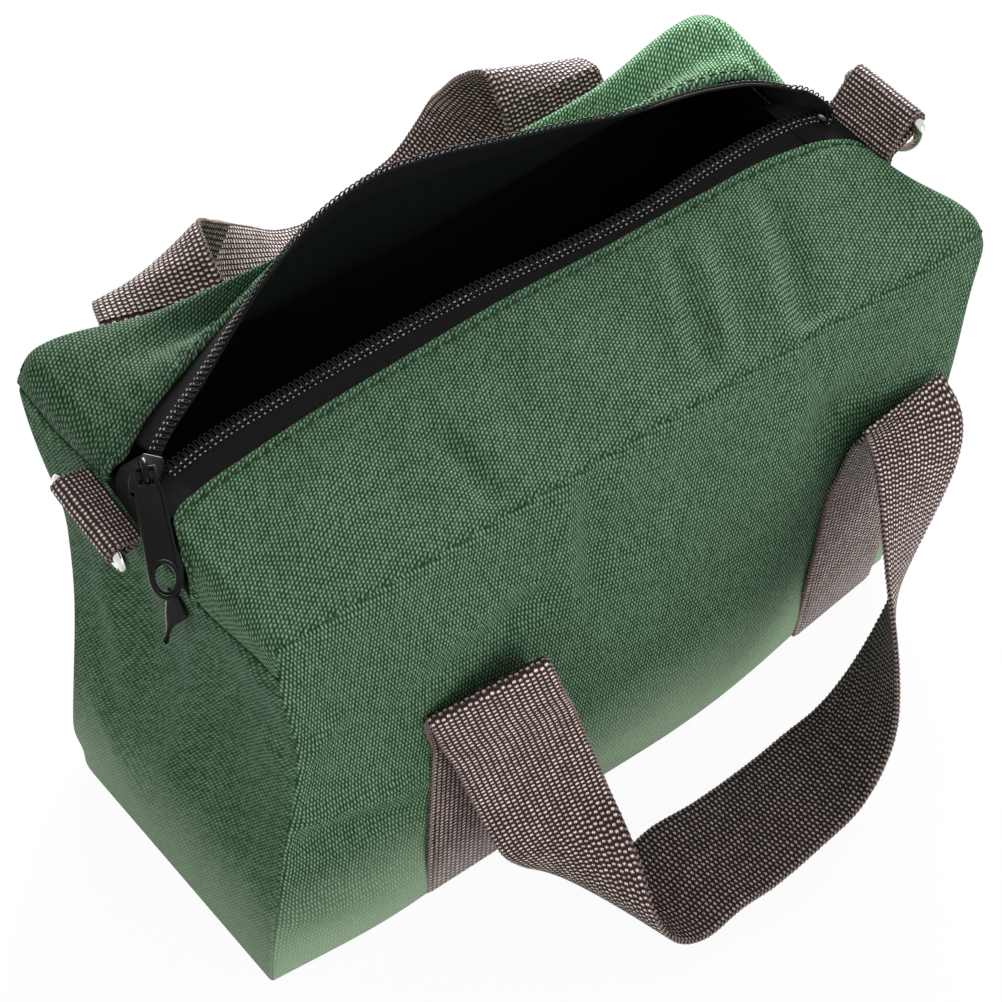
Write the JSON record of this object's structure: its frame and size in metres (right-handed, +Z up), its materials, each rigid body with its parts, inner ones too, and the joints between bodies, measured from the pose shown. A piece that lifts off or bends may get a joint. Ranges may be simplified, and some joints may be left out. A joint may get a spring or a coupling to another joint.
{
  "type": "tool bag",
  "caption": "Open canvas tool bag with a coil zip along its top, webbing carry handles on both faces and a folded webbing tab with a D-ring at each end",
  "frame": {"origin": "on the floor, at the underside of the bottom panel, midway between the bag's two ends and between the seams of its long faces", "axes": "+X along the bag from the zip's open end at the left to the right, +Y from the front face to the rear face, +Z up"},
  "size_m": [0.3017, 0.27, 0.1939],
  "materials": {
    "canvas": "matt plain-weave cotton canvas",
    "webbing": "coarse two-tone woven webbing",
    "zip_tape": "matt black woven tape",
    "zip_coil": "glossy black nylon",
    "slider_metal": "glossy black enamel",
    "ring_metal": "bright nickel plate"
  },
  "bodies": {
    "bag": {"front_panel": "canvas", "rear_panel": "canvas", "left_end_panel": "canvas", "right_end_panel": "canvas", "bottom_panel": "canvas", "top_panel_front": "canvas", "top_panel_rear": "canvas", "zip_tape_front": "zip_tape", "zip_tape_rear": "zip_tape", "zip_coil_front": "zip_coil", "zip_coil_rear": "zip_coil", "zip_tail": "zip_tape", "zip_end_stop": "zip_coil", "front_strip_left": "webbing", "front_strip_right": "webbing", "rear_strip_left": "webbing", "rear_strip_right": "webbing", "ring_tab_left": "webbing", "ring_tab_right": "webbing"},
    "slider": {"slider_body": "slider_metal", "slider_bridge": "slider_metal"},
    "pull": {"zip_pull": "slider_metal"},
    "front_handle": {"handle_front": "webbing"},
    "rear_handle": {"handle_rear": "webbing"},
    "left_ring": {"d_ring_left": "ring_metal"},
    "right_ring": {"d_ring_right": "ring_metal"}
  },
  "joints": [
    {"name": "front_handle_lift", "type": "hinge", "parent": "bag", "child": "front_handle", "pos_m": [0, -0.0678, 0.108], "axis": [-1, 0, 0], "range_deg": [0, 120]},
    {"name": "rear_handle_lift", "type": "hinge", "parent": "bag", "child": "rear_handle", "pos_m": [0, 0.0875, 0.146], "axis": [1, 0, 0], "range_deg": [0, 105]},
    {"name": "zip_slide", "type": "slide", "parent": "bag", "child": "slider", "axis": [1, 0, 0], "range_m": [0, 0.236]},
    {"name": "pull_swing", "type": "hinge", "parent": "slider", "child": "pull", "pos_m": [-0.13, 0.005, 0.1732], "axis": [-0.8988, 0.4384, 0], "range_deg": [0, 150]},
    {"name": "left_ring_swing", "type": "hinge", "parent": "bag", "child": "left_ring", "pos_m": [-0.144, 0.01295, 0.15424], "axis": [0, 0.9816, 0.1908], "range_deg": [-10, 155]},
    {"name": "right_ring_swing", "type": "hinge", "parent": "bag", "child": "right_ring", "pos_m": [0.14651, -0.0054, 0.17393], "axis": [0, -1, 0], "range_deg": [0, 150]}
  ]
}
